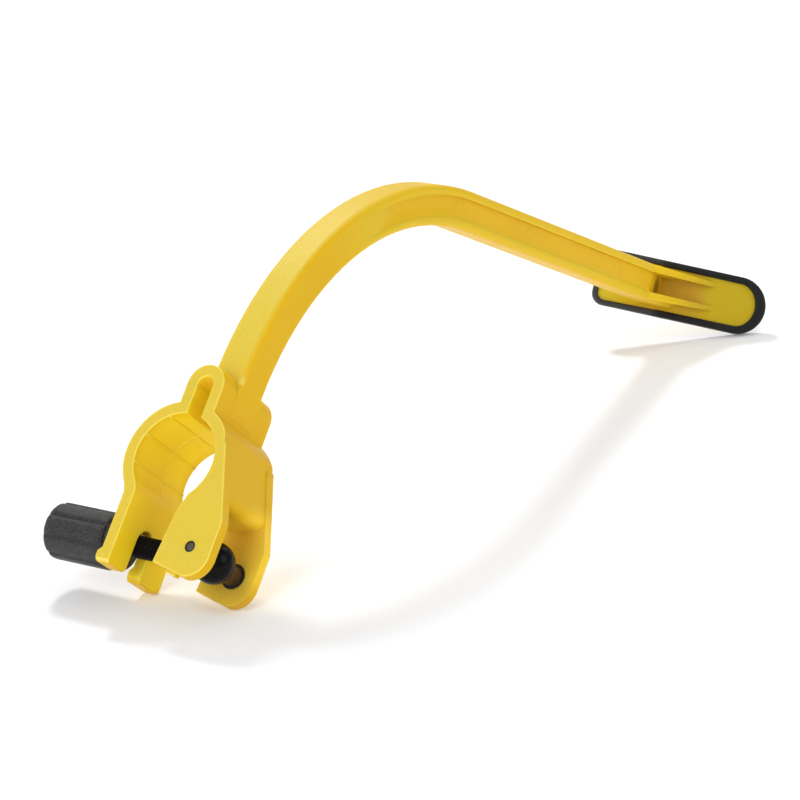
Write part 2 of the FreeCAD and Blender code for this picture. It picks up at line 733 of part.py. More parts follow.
def knob():
    body = new_body("knob")
    profile = new_sketch(body, "KnobProfile", "XY_Plane", shift(y="bolt_depth", z="-pin_z"))
    near, far, closed = "(pin_x - knob_near)", "(pin_x - knob_far)", "(pin_x - cavity_end)"
    seat = "(pin_x - insert_near - insert_length)"
    draw(profile, [
        corner(near, "insert_radius"),
        corner(near, "knob_radius - knob_edge"),
        corner(f"{near} - knob_edge", "knob_radius"),
        corner(f"{far} + knob_chamfer", "knob_radius"),
        corner(far, "knob_radius - knob_chamfer"),
        corner(far, "0"),
        corner(closed, "0"),
        corner(closed, "cavity_radius"),
        corner(seat, "cavity_radius"),
        corner(seat, "insert_radius"),
    ])
    revolve(body, "KnobBlank", profile)
    groove = rod_section(body, "GrooveCircle", "knob_near")
    circle(groove, "flute_radius", "knob_radius + flute_radius / 3", "0")
    cut = feature(body, "Pocket", "Flute", groove, through=True)
    pattern = body.newObject("PartDesign::PolarPattern", "Flutes")
    pattern.Originals = [cut]
    pattern.Axis = (groove, ["N_Axis"])
    pattern.Angle = 360
    pattern.setExpression("Occurrences", bound("flute_count"))
    body.Tip = pattern
    doc.recompute()
    return body


def knob_insert():
    body = new_body("knob_insert")
    ring = rod_section(body, "InsertRing", "insert_near")
    circle(ring, "insert_radius")
    circle(ring, "rod_radius + running")
    feature(body, "Pad", "Insert", ring, reverse=True, Length="insert_length")
    return body


# ---------------------------------------------------------------- assembly and files

pieces = [clamp_arm(), clamp_jaw(), rim_tip(), rim_heel(), pivot_pin(), pin_bush(),
          swing_bolt(), thrust_washer(), knob(), knob_insert()]
for piece in pieces:
    piece.setExpression("Placement", bound("placement(vector(0; 0; 0); rotation(0; 0; -rest_pitch))"))
doc.recompute()

for item in doc.Objects:
    if "Invalid" in item.State or "Error" in item.State:
        raise RuntimeError(f"{item.Label} is {item.State}")
os.makedirs("parts", exist_ok=True)
for piece in pieces:
    shape = piece.Shape
    if shape.isNull() or not shape.isValid() or len(shape.Solids) != 1:
        raise RuntimeError(f"{piece.Label} is not one valid solid")
    shape.exportStep(f"parts/{piece.Label}.step")
    box = shape.BoundBox
    print(f"{piece.Label}: volume {shape.Volume:.0f}, "
          f"X {box.XMin:.1f}..{box.XMax:.1f}, Y {box.YMin:.1f}..{box.YMax:.1f}, Z {box.ZMin:.1f}..{box.ZMax:.1f}")
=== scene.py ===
"""Looks of the clamp-on curved arm: materials, details that the solids leave plain, floor, light and camera.

Shapes are written in the clamp's own frame, in millimetres: X along the swing bolt, Y along the tube that
the clamp holds, Z from the jaws towards the flex loop. to_row() puts them into the row frame, in metres.
"""
import math

import bmesh
import bpy
import numpy as np
from mathutils import Matrix, Vector


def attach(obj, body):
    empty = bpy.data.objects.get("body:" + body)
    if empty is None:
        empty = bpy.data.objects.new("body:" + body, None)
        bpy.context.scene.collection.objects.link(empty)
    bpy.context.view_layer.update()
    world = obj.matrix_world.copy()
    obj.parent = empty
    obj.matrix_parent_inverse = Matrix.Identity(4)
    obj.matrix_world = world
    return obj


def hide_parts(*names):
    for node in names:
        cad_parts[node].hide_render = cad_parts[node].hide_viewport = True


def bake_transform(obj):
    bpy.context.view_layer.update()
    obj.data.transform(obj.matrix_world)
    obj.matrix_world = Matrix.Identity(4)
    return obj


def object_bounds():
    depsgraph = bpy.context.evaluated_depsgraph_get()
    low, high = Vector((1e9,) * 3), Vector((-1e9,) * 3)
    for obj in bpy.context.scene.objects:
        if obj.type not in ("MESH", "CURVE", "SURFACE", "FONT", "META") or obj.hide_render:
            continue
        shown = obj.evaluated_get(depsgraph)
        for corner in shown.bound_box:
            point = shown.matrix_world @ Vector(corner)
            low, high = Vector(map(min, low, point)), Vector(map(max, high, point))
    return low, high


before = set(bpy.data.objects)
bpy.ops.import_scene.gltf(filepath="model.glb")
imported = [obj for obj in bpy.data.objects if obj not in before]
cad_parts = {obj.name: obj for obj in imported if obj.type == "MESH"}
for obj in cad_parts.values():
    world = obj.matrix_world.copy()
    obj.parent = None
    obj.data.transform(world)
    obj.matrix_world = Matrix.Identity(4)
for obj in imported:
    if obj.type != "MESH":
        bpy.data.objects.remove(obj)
cad_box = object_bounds()

# ---------------------------------------------------------------- places shared with the solids, in mm

REST_PITCH = math.radians(40.93)
TO_ROW = Matrix.Rotation(-REST_PITCH, 3, "X") * 0.001
PIN_X, PIN_Z, BOLT_Y = 19.7, -29.3, 15.7
PIN_END = (PIN_X, 0.3, PIN_Z)
BORE_RADIUS, CLAMP_DEPTH = 16.0, 33.0
CLAMP_MIDDLE = CLAMP_DEPTH / 2
WALL_MIDDLE_Y = 28.7
LOOP_X, LOOP_OUTER, LOOP_INNER = 1.6, 7.5, 3.2
ARM_X, ARM_WIDTH, ARM_DEPTH = 2.6, 13.3, 15.0
BEND_Y, BEND_Z = 131.1, 32.0
BEND_MIDDLE = 114.5
RECESS_END = 152.0
ARM_SLOPE, PADDLE_TURN = math.radians(14.2), math.radians(52.5)
ALONG = Vector((0, math.cos(ARM_SLOPE), math.sin(ARM_SLOPE)))
ACROSS = Vector((0, -math.sin(ARM_SLOPE), math.cos(ARM_SLOPE)))
SIDE = Vector((1, 0, 0))
STRAIGHT = Vector((0, BEND_Y, BEND_Z)) + ACROSS * BEND_MIDDLE
PADDLE_LONG = ALONG * math.cos(PADDLE_TURN) + SIDE * math.sin(PADDLE_TURN)
PADDLE_OUT = ALONG * -math.sin(PADDLE_TURN) + SIDE * math.cos(PADDLE_TURN)
PADDLE_REACH, PADDLE_TIP_X = 178.9, 28.8
PADDLE_TIP = STRAIGHT + ALONG * PADDLE_REACH + SIDE * PADDLE_TIP_X


def to_row(point):
    """A point of the clamp's frame, in millimetres, as a point of the row frame, in metres."""
    return TO_ROW @ Vector(point)


# ---------------------------------------------------------------- materials

class Nodes:
    """A material's node tree, with short calls for what the materials below share."""

    def __init__(self, name):
        self.material = bpy.data.materials.new(name)
        self.material.use_nodes = True
        self.tree = self.material.node_tree
        self.shader = next(n for n in self.tree.nodes if n.type == "BSDF_PRINCIPLED")
        self.place = self.add("ShaderNodeTexCoord").outputs["Object"]
        self.bumps = None

    def add(self, kind, **settings):
        node = self.tree.nodes.new(kind)
        for key, value in settings.items():
            setattr(node, key, value)
        return node

    def link(self, source, target):
        self.tree.links.new(source, target)

    def noise(self, scale, detail=3.0, roughness=0.55, stretch=None):
        node = self.add("ShaderNodeTexNoise")
        node.inputs["Scale"].default_value = scale
        node.inputs["Detail"].default_value = detail
        node.inputs["Roughness"].default_value = roughness
        if stretch is None:
            self.link(self.place, node.inputs["Vector"])
        else:
            mapping = self.add("ShaderNodeMapping")
            mapping.inputs["Scale"].default_value = stretch
            self.link(self.place, mapping.inputs["Vector"])
            self.link(mapping.outputs["Vector"], node.inputs["Vector"])
        return node.outputs["Fac"]

    def ramp(self, source, *stops):
        """A ramp from (position, value) or (position, (r, g, b)) stops."""
        node = self.add("ShaderNodeValToRGB")
        elements = node.color_ramp.elements
        while len(elements) < len(stops):
            elements.new(0.5)
        for element, (position, value) in zip(elements, stops):
            colour = value if isinstance(value, tuple) else (value,) * 3
            element.position = position
            element.color = (*colour, 1.0)
        self.link(source, node.inputs["Fac"])
        return node.outputs["Color"]

    def mix(self, factor, first, second):
        """The first colour where the factor is 0, and the second where it is 1."""
        node = self.add("ShaderNodeMix", data_type="RGBA")
        for socket, value in ((node.inputs[0], factor), (node.inputs[6], first), (node.inputs[7], second)):
            if isinstance(value, bpy.types.NodeSocket):
                self.link(value, socket)
            elif isinstance(value, tuple):
                socket.default_value = (*value, 1.0)
            else:
                socket.default_value = value
        return node.outputs[2]

    def maths(self, operation, *values):
        node = self.add("ShaderNodeMath", operation=operation)
        for socket, value in zip(node.inputs, values):
            if isinstance(value, bpy.types.NodeSocket):
                self.link(value, socket)
            else:
                socket.default_value = value
        return node.outputs[0]

    def tint(self, colour, mask, share, paint):
        """A colour with a share of paint where the mask is 1."""
        return self.mix(self.maths("MULTIPLY", mask, share), colour, paint)

    def near(self, point, inner, outer):
        """1 up to a distance from a place in the clamp's frame, falling smoothly to 0 at a larger one."""
        measure = self.add("ShaderNodeVectorMath", operation="DISTANCE")
        self.link(self.place, measure.inputs[0])
        measure.inputs[1].default_value = to_row(point)
        fade = self.add("ShaderNodeMapRange", interpolation_type="SMOOTHSTEP")
        self.link(measure.outputs["Value"], fade.inputs["Value"])
        fade.inputs["From Min"].default_value = inner / 1000
        fade.inputs["From Max"].default_value = outer / 1000
        fade.inputs["To Min"].default_value = 1.0
        fade.inputs["To Max"].default_value = 0.0
        return fade.outputs["Result"]

    def bump(self, height, strength, distance):
        """Surface grain on top of any already there; the distance is in metres."""
        node = self.add("ShaderNodeBump")
        node.inputs["Strength"].default_value = strength
        node.inputs["Distance"].default_value = distance
        self.link(height, node.inputs["Height"])
        if self.bumps is not None:
            self.link(self.bumps, node.inputs["Normal"])
        self.bumps = node.outputs["Normal"]

    def finish(self, colour, roughness, **constants):
        """The material, with its colour, roughness and grain linked and the shader's other inputs set."""
        self.link(colour, self.shader.inputs["Base Color"])
        self.link(roughness, self.shader.inputs["Roughness"])
        if self.bumps is not None:
            self.link(self.bumps, self.shader.inputs["Normal"])
        for name, value in constants.items():
            self.shader.inputs[name.replace("_", " ")].default_value = value
        return self.material


def facing(n, geometry, direction):
    """How far the surface faces a direction of the clamp's frame, from -1 to 1."""
    dot = n.add("ShaderNodeVectorMath", operation="DOT_PRODUCT")
    n.link(geometry.outputs["Normal"], dot.inputs[0])
    dot.inputs[1].default_value = (TO_ROW * 1000) @ Vector(direction)
    return dot.outputs["Value"]


def clamp_painted_light(n, colour, geometry, across, forward):
    """Painted light on the clamp: a painted sheen that pales its front faces, painted warm glow inside the
    bore and the jaw and the loop's hollow, painted warm bounce light between the ears, and painted shade at
    the ears' foot.
    """
    # Painted sheen: faces turned to the front are drawn paler, as the front fill lights them.
    front = n.ramp(forward, (0.55, 0.0), (0.95, 1.0))
    colour = n.tint(colour, front, 0.80, (0.670, 0.515, 0.048))
    outward = n.add("ShaderNodeVectorMath", operation="DOT_PRODUCT")
    n.link(geometry.outputs["Normal"], outward.inputs[0])
    n.link(n.place, outward.inputs[1])
    inward = n.ramp(n.maths("MULTIPLY", outward.outputs["Value"], -100.0), (0.30, 0.0), (0.90, 1.0))
    # Painted warm glow inside the bore, standing in for light bounced round it and shone through the plastic.
    bore = n.maths("MULTIPLY", n.near((0, CLAMP_MIDDLE, 0), 19.0, 26.0), inward)
    colour = n.mix(bore, colour, (0.985, 0.750, 0.014))
    # Painted warm glow on the jaw's inner faces, from the same bounced light.
    jaw_inside_glow = n.maths("MULTIPLY", n.near((-10.0, 16.0, -26.0), 17.0, 26.0), inward)
    colour = n.mix(jaw_inside_glow, colour, (0.970, 0.700, 0.018))
    # Painted warm bounce light between the ears, where they shade each other.
    between_ears_bounce = n.near((21.0, WALL_MIDDLE_Y, -20.0), 9.0, 18.0)
    colour = n.tint(colour, between_ears_bounce, 0.90, (1.000, 0.660, 0.045))
    # Painted shade at the foot of the ears, beside the ball eye.
    ear_foot_shade = n.near((20.0, WALL_MIDDLE_Y, -37.0), 5.0, 12.0)
    colour = n.tint(colour, ear_foot_shade, 0.90, (0.620, 0.380, 0.022))
    # Painted warm glow inside the loop's hollow, leaving its front faces out.
    off_slot = n.maths("ABSOLUTE", n.maths("SUBTRACT", across, LOOP_X / 1000))
    slot_glow = n.ramp(n.maths("MULTIPLY", off_slot, 100.0), (0.36, 1.0), (0.42, 0.0))
    slot_glow = n.maths("MULTIPLY", slot_glow, n.near((LOOP_X, CLAMP_MIDDLE, 24.0), 20.0, 22.0))
    slot_glow = n.maths("MULTIPLY", slot_glow, n.maths("SUBTRACT", 1.0, front))
    return n.mix(slot_glow, colour, (1.000, 0.740, 0.024))


def arm_painted_light(n, colour, along, across, forward):
    """Painted light: a painted sheen that makes the arm's flanges paler than its web, and a painted highlight
    along the clamp's rounded edges.
    """
    off_middle = n.maths("ABSOLUTE", n.maths("SUBTRACT", across, ARM_X / 1000))
    web = n.ramp(n.maths("MULTIPLY", off_middle, 100.0), (0.56, 1.0), (0.63, 0.0))
    past_bend_start = n.ramp(along, (0.085, 0.0), (0.105, 1.0))
    # Painted sheen on the flanges, from the start of the bend onwards.
    flange = n.maths("MULTIPLY", n.maths("SUBTRACT", 1.0, web), past_bend_start)
    colour = n.tint(colour, flange, 0.60, (0.760, 0.540, 0.022))
    # Painted highlight on the clamp's rounded edges, chosen by how far they face the front.
    rounded = n.ramp(forward, (0.18, 0.0), (0.45, 1.0), (0.88, 1.0), (0.97, 0.0))
    edges = n.maths("MULTIPLY", rounded, n.near((4.0, 0.0, -6.0), 40.0, 44.0))
    return n.tint(colour, edges, 0.55, (0.880, 0.780, 0.190))


def paddle_tints(n, colour, forward):
    """Painted shade and light on the paddle: darker olive near the tip, amber shade with bounce light in the
    pocket, a dark shadow where the arm's web ends; and a greener heel.
    """
    # Painted shade: the plate is drawn darker olive near its tip, where the arm shades it.
    plate = n.near(PADDLE_TIP + PADDLE_LONG * 2.0, 6.0, 44.0)
    colour = n.tint(colour, plate, 0.85, (0.450, 0.332, 0.014))
    # Painted shade with warm bounce light in the pocket between the ribs, on its faces turned forward.
    seen_side = n.ramp(n.maths("ADD", forward, 0.5), (0.20, 0.0), (0.45, 1.0))
    pocket = n.maths("MULTIPLY", n.near(STRAIGHT + ALONG * 166.0 + SIDE * 11.0, 3.0, 12.0), seen_side)
    colour = n.tint(colour, pocket, 0.55, (0.560, 0.290, 0.045))
    # Painted shadow on the steep wall where the arm's web ends; no real mark is there.
    stain_and_shade = n.near(STRAIGHT + ALONG * (RECESS_END - 0.5) + SIDE * 6.0 - ACROSS * 0.5, 1.5, 6.0)
    colour = n.tint(colour, stain_and_shade, 0.80, (0.120, 0.065, 0.012))
    heel = n.near(PADDLE_TIP + PADDLE_LONG * -58.0 + ACROSS * -6.0, 4.0, 16.0)
    return n.tint(colour, heel, 0.60, (0.66, 0.60, 0.050))


def yellow_plastic(name, scatter):
    """Satin moulded plastic, golden, with grain on the arm's outer face and a painted speckled sheen there.

    Scatter is how much light goes through it: none in the thin pieces that lie on the moulding.
    """
    n = Nodes(name)
    colour = n.ramp(n.noise(26.0, 4.0), (0.30, (0.745, 0.445, 0.006)), (0.72, (0.785, 0.480, 0.008)))
    flow = n.noise(60.0, 5.0, stretch=(3.0, 0.5, 0.5))
    colour = n.mix(n.ramp(flow, (0.45, 0.0), (0.75, 0.22)), colour, (0.780, 0.500, 0.014))
    geometry = n.add("ShaderNodeNewGeometry")
    forward = facing(n, geometry, (0, -1, 0))
    split = n.add("ShaderNodeSeparateXYZ")
    n.link(n.place, split.inputs[0])
    across, along = split.outputs["X"], split.outputs["Y"]
    colour = clamp_painted_light(n, colour, geometry, across, forward)
    colour = arm_painted_light(n, colour, along, across, forward)
    colour = paddle_tints(n, colour, forward)
    n.bump(n.noise(2600.0, 2.0, 0.6), 0.08, 0.0002)
    outer = n.ramp(facing(n, geometry, (0, -0.80, 0.60)), (0.60, 0.0), (0.88, 1.0))
    sparkle = n.noise(1500.0, 2.0, 0.75)
    n.bump(n.maths("MULTIPLY", sparkle, outer), 0.45, 0.0005)
    # Painted sheen: pale speckles on the faces turned up and forward, as lit.
    pale = n.maths("MULTIPLY", n.ramp(sparkle, (0.40, 0.25), (0.66, 0.75)), outer)
    colour = n.tint(colour, pale, 0.45, (0.84, 0.72, 0.17))
    roughness = n.ramp(n.noise(180.0, 3.0), (0.3, 0.34), (0.7, 0.44))
    return n.finish(colour, roughness, Subsurface_Weight=scatter, Subsurface_Radius=(1.0, 0.50, 0.05),
                    Subsurface_Scale=0.005, IOR=1.49, Specular_IOR_Level=0.10)


def black_rubber():
    """Moulded rubber: near black, a little dusty, matt."""
    n = Nodes("black_rubber")
    colour = n.ramp(n.noise(90.0, 5.0), (0.30, (0.006, 0.006, 0.006)), (0.75, (0.016, 0.016, 0.016)))
    dust = n.ramp(n.noise(700.0, 4.0, 0.7), (0.60, 0.0), (0.80, 0.5))
    heel = n.near(PADDLE_TIP + PADDLE_LONG * -57.0, 24.0, 29.0)
    colour = n.tint(colour, heel, 0.75, (0.052, 0.052, 0.050))
    colour = n.mix(dust, colour, (0.034, 0.034, 0.035))
    n.bump(n.noise(1800.0, 3.0, 0.6), 0.18, 0.0003)
    n.bump(n.noise(160.0, 2.0), 0.10, 0.0010)
    roughness = n.ramp(n.noise(220.0), (0.3, 0.38), (0.7, 0.55))
    return n.finish(colour, roughness, IOR=1.5, Specular_IOR_Level=0.18)


def knob_plastic():
    """Textured black plastic with patches of grey bloom."""
    n = Nodes("knob_plastic")
    grain = n.noise(1700.0, 3.0, 0.75)
    colour = n.ramp(grain, (0.36, (0.004, 0.004, 0.004)), (0.66, (0.070, 0.070, 0.068)))
    patch = n.ramp(n.noise(130.0, 4.0), (0.35, 0.0), (0.75, 0.45))
    colour = n.mix(patch, colour, (0.022, 0.023, 0.024))
    n.bump(grain, 0.80, 0.0005)
    return n.finish(colour, n.ramp(grain, (0.3, 0.36), (0.7, 0.55)), IOR=1.5, Specular_IOR_Level=0.30)


def glossy_black():
    """Black finished steel: smooth and glossy, with faint wear."""
    n = Nodes("glossy_black")
    wear = n.ramp(n.noise(420.0, 5.0, 0.7), (0.62, 0.0), (0.78, 0.35))
    colour = n.mix(wear, (0.004, 0.004, 0.004), (0.022, 0.014, 0.008))
    n.bump(n.noise(900.0, 2.0), 0.05, 0.0002)
    roughness = n.ramp(n.noise(300.0, 3.0), (0.3, 0.06), (0.7, 0.12))
    return n.finish(colour, roughness, IOR=1.5, Specular_IOR_Level=0.09)


def pin_steel():
    """Turned pin: brown-grey steel with fine rings and stains, a grey end, and painted shade in a dark ring
    round the end where it sits in its hole.
    """
    n = Nodes("pin_steel")
    stain_and_shade = n.noise(260.0, 5.0, 0.65)
    colour = n.ramp(stain_and_shade, (0.30, (0.070, 0.045, 0.026)), (0.55, (0.140, 0.098, 0.062)),
                    (0.80, (0.21, 0.185, 0.16)))
    # Painted shade: a dark ring round the pin's end, standing in for the shadow of the recess it sits in.
    colour = n.mix(n.near(PIN_END, 2.6, 3.2), colour, (0.012, 0.010, 0.008))
    colour = n.mix(n.near(PIN_END, 1.0, 2.0), colour, (0.120, 0.115, 0.098))
    n.bump(n.noise(900.0, 4.0, 0.7, stretch=(1.0, 0.25, 0.25)), 0.22, 0.0002)
    return n.finish(colour, n.ramp(stain_and_shade, (0.3, 0.34), (0.7, 0.55)), Metallic=0.85)


def bush_plastic():
    """Dark brown plastic of the bush round the pin."""
    n = Nodes("bush_plastic")
    grain = n.noise(500.0, 4.0)
    colour = n.ramp(grain, (0.3, (0.008, 0.007, 0.006)), (0.7, (0.030, 0.024, 0.018)))
    n.bump(grain, 0.10, 0.0002)
    return n.finish(colour, n.ramp(grain, (0.3, 0.4), (0.7, 0.6)))


def brass():
    """Turned brass of the knob's insert."""
    n = Nodes("brass")
    tone = n.noise(300.0, 4.0)
    colour = n.ramp(tone, (0.3, (0.50, 0.33, 0.12)), (0.7, (0.72, 0.53, 0.22)))
    n.bump(n.noise(1200.0, 3.0, stretch=(0.2, 1.0, 1.0)), 0.15, 0.0002)
    return n.finish(colour, n.ramp(tone, (0.3, 0.24), (0.7, 0.38)), Metallic=1.0)


def pale_floor():
    """A plain pale studio floor."""
    n = Nodes("pale_floor")
    colour = n.ramp(n.noise(3.0, 2.0), (0.3, (0.93, 0.94, 0.965)), (0.7, (0.95, 0.96, 0.985)))
    return n.finish(colour, n.ramp(n.noise(8.0), (0.3, 0.75), (0.7, 0.85)), Specular_IOR_Level=0.2,
                    Emission_Color=(1, 1, 1, 1), Emission_Strength=0.07)


YELLOW = yellow_plastic("yellow_plastic", 0.30)
YELLOW_SKIN = yellow_plastic("yellow_plastic_skin", 0.0)
RUBBER, KNOB = black_rubber(), knob_plastic()
GLOSS, STEEL, BUSH, BRASS = glossy_black(), pin_steel(), bush_plastic(), brass()
CAD_LOOKS = {
    "clamp_arm": YELLOW, "clamp_jaw": YELLOW, "rim_tip": RUBBER, "rim_heel": RUBBER, "pivot_pin": STEEL,
    "pin_bush": BUSH, "swing_bolt": GLOSS, "thrust_washer": KNOB, "knob": KNOB, "knob_insert": BRASS,
}
for node, look in CAD_LOOKS.items():
    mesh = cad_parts[node].data
    mesh.materials.clear()
    mesh.materials.append(look)


# ---------------------------------------------------------------- mesh building

def piece(name, points, faces, look, body, replaces=()):
    """A smooth closed mesh from points of the clamp's frame, riding on a body unless that is None."""
    mesh = bpy.data.meshes.new(name)
    mesh.from_pydata([to_row(p) for p in points], [], faces)
    mesh.validate()
    mesh.materials.append(look)
    mesh.polygons.foreach_set("use_smooth", [True] * len(mesh.polygons))
    made = bpy.data.objects.new(name, mesh)
    bpy.context.scene.collection.objects.link(made)
    cleaner = bmesh.new()
    cleaner.from_mesh(mesh)
    bmesh.ops.remove_doubles(cleaner, verts=cleaner.verts, dist=1e-6)
    bmesh.ops.recalc_face_normals(cleaner, faces=cleaner.faces)
    cleaner.to_mesh(mesh)
    cleaner.free()
    if body:
        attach(made, body)
    if replaces:
        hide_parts(*replaces)
    return made


def sharpen(obj, degrees):
    """Keep edges sharper than an angle crisp, and the rest smooth."""
    obj.data.set_sharp_from_angle(angle=math.radians(degrees))


def bevel(obj, width, degrees=35, segments=3):
    """Round the edges sharper than an angle; the width is in millimetres."""
    made = obj.modifiers.new("edge_bevel", "BEVEL")
    made.width = width / 1000
    made.segments = segments
    made.limit_method = "ANGLE"
    made.angle_limit = math.radians(degrees)
    made.harden_normals = False


def grid_faces(rows, columns, wrap_rows=False, wrap_columns=True, first=0):
    """Quads over a grid of points stored row after row."""
    faces = []
    for row in range(rows if wrap_rows else rows - 1):
        below = (row + 1) % rows
        for column in range(columns if wrap_columns else columns - 1):
            beside = (column + 1) % columns
            faces.append((first + row * columns + column, first + row * columns + beside,
                          first + below * columns + beside, first + below * columns + column))
    return faces


def cap(start, count, flip=False):
    """One face over a ring of points, turned over if asked."""
    ring = list(range(start, start + count))
    return tuple(reversed(ring)) if flip else tuple(ring)


def turned(profile, segments, radius_at=None):
    """Rings of points about the rod's axis, from (x, radius) pairs."""
    points = []
    for x, radius in profile:
        for k in range(segments):
            angle = math.tau * k / segments
            size = radius_at(x, radius, angle) if radius_at else radius
            points.append((x, BOLT_Y + size * math.cos(angle), PIN_Z + size * math.sin(angle)))
    return points


# ---------------------------------------------------------------- swing bolt: ball eye and threaded rod

THREAD_PITCH, CREST, ROOT = 1.25, 3.95, 3.28
BALL, EYE_RADIUS, EYE_CHAMFER, BALL_FLAT_Y = 7.4, 3.56, 0.25, 6.1
ROD_TIP, THREAD_START, ROD_START = -40.0, 7.5, 15.4
ROD_SEGMENTS, BALL_SEGMENTS = 32, 56


def thread_radius(x, angle):
    """Radius of the rod's surface: a trapezoid thread that runs out at both ends."""
    phase = (x / THREAD_PITCH + angle / math.tau) % 1.0
    slope = abs(phase - 0.5) * 2.0
    height = min(1.0, max(0.0, (slope - 0.22) / 0.58))
    ends = min(1.0, max(0.0, (THREAD_START - x) / 1.5))
    chamfer = min(0.0, (x - ROD_TIP) - 0.9)
    grooved = ROOT + (CREST - ROOT) * height
    return min(CREST * (1 - ends) + grooved * ends, CREST + chamfer)


def swing_bolt():
    """The rod with its thread, and the ball with flat ends and an eye for the pin."""
    step = THREAD_PITCH / 8
    xs = [ROD_START, 13.0, 10.0, THREAD_START]
    xs += list(np.arange(THREAD_START - step, ROD_TIP + 1e-6, -step)) + [ROD_TIP]
    points = turned([(x, CREST) for x in xs], ROD_SEGMENTS, lambda x, radius, angle: thread_radius(x, angle))
    faces = grid_faces(len(xs), ROD_SEGMENTS)
    faces += [cap(0, ROD_SEGMENTS), cap((len(xs) - 1) * ROD_SEGMENTS, ROD_SEGMENTS, True)]
    rim_angle = math.asin(BALL_FLAT_Y / BALL)
    profile = [(EYE_RADIUS + EYE_CHAMFER, -BALL_FLAT_Y)]
    profile += [(BALL * math.cos(a), BALL * math.sin(a)) for a in np.linspace(-rim_angle, rim_angle, 25)]
    profile += [(EYE_RADIUS + EYE_CHAMFER, BALL_FLAT_Y), (EYE_RADIUS, BALL_FLAT_Y - EYE_CHAMFER),
                (EYE_RADIUS, -BALL_FLAT_Y + EYE_CHAMFER)]
    first = len(points)
    for radius, y in profile:
        for k in range(BALL_SEGMENTS):
            angle = math.tau * k / BALL_SEGMENTS
            points.append((PIN_X + radius * math.cos(angle), BOLT_Y + y, PIN_Z + radius * math.sin(angle)))
    faces += grid_faces(len(profile), BALL_SEGMENTS, wrap_rows=True, first=first)
    made = piece("swing_bolt_threaded", points, faces, GLOSS, "bolt", ["swing_bolt"])
    sharpen(made, 50)
    return made


swing_bolt()


# ---------------------------------------------------------------- knob and washer

LOBES, FIRST_GROOVE = 8, math.radians(28.0)
GROOVE_DEPTH, GROOVE_HALF, CROWN_DEPTH, LOBE_MIDDLE = 0.62, 7.5, 0.10, 15.0
KNOB_NEAR, KNOB_FAR, KNOB_RADIUS, KNOB_SEGMENTS = -21.5, -48.2, 9.97, 192
KNOB_HOLE, PLAIN_RADIUS, FULL_DEPTH_AFTER = 5.7, 8.2, 1.2


def lobed(x, radius, angle):
    """Eight broad, slightly crowned lobes with narrow soft grooves between them."""
    if radius < PLAIN_RADIUS:
        return radius
    turn = ((angle - FIRST_GROOVE) * LOBES / math.tau + 0.5) % 1.0 - 0.5
    offset = abs(turn) * 360 / LOBES
    groove = GROOVE_DEPTH * (0.5 + 0.5 * math.cos(math.pi * min(1.0, offset / GROOVE_HALF)))
    crown = CROWN_DEPTH * (offset - LOBE_MIDDLE) ** 2 / LOBE_MIDDLE ** 2
    fade = min(1.0, (radius - PLAIN_RADIUS) / FULL_DEPTH_AFTER)
    return radius - (groove + crown) * fade


def knob():
    """The lobed grip with a rounded end, and the stepped hole for its insert."""
    edge = [(KNOB_NEAR, KNOB_HOLE), (KNOB_NEAR, 8.4), (KNOB_NEAR - 0.12, 8.9), (KNOB_NEAR - 0.5, 9.45),
            (KNOB_NEAR - 1.1, 9.8), (KNOB_NEAR - 1.8, KNOB_RADIUS)]
    middle = [(x, KNOB_RADIUS) for x in np.linspace(KNOB_NEAR - 3.0, KNOB_FAR + 3.4, 14)]
    end = [(KNOB_FAR + 2.3, KNOB_RADIUS - 0.03), (KNOB_FAR + 1.7, 9.72), (KNOB_FAR + 1.0, 9.15),
           (KNOB_FAR + 0.45, 8.45), (KNOB_FAR + 0.12, 7.7), (KNOB_FAR, 6.8), (KNOB_FAR, 3.0), (KNOB_FAR, 0.4)]
    outside = edge + middle + end
    hole = [(KNOB_NEAR, KNOB_HOLE), (-42.4, KNOB_HOLE), (-42.4, 4.4), (-45.7, 4.4), (-45.7, 0.4)]
    points = turned(outside, KNOB_SEGMENTS, lobed)
    first = len(points)
    points += turned(hole, KNOB_SEGMENTS)
    faces = grid_faces(len(outside), KNOB_SEGMENTS)
    faces.append(cap((len(outside) - 1) * KNOB_SEGMENTS, KNOB_SEGMENTS))
    faces += grid_faces(len(hole), KNOB_SEGMENTS, first=first)
    faces.append(cap(first + (len(hole) - 1) * KNOB_SEGMENTS, KNOB_SEGMENTS))
    made = piece("knob_grip", points, faces, KNOB, "knob", ["knob"])
    sharpen(made, 42)
    return made


knob()


def washer():
    """The turned washer, with soft outer edges."""
    near, far, bore, outer = -18.5, -21.2, 4.3, 9.6
    profile = [(near, bore), (near, outer - 0.9), (near - 0.1, outer - 0.5), (near - 0.4, outer - 0.1),
               (near - 0.8, outer), (far + 0.8, outer), (far + 0.4, outer - 0.1), (far + 0.1, outer - 0.5),
               (far, outer - 0.9), (far, bore)]
    segments = 96
    faces = grid_faces(len(profile), segments, wrap_rows=True)
    points = turned(profile, segments)
    made = piece("thrust_washer_turned", points, faces, KNOB, "washer", ["thrust_washer"])
    sharpen(made, 50)
    return made


washer()


# ---------------------------------------------------------------- rubber edging

PLATE_LIFT, PLATE_THICK, RIM_THICK = 0.9, 3.2, 5.6
RIM_OUTER, HEEL_OUTER, HEEL_ROUND = 11.70, 59.33, 4.95
SEAM, SEAM_GAP, TONGUE_DEPTH = -33.0, 0.15, 1.6


def on_paddle(long, across, out):
    """A point from distances along the paddle from its tip centre, across it, and out of its face."""
    return PADDLE_TIP + PADDLE_LONG * long + ACROSS * across + PADDLE_OUT * out


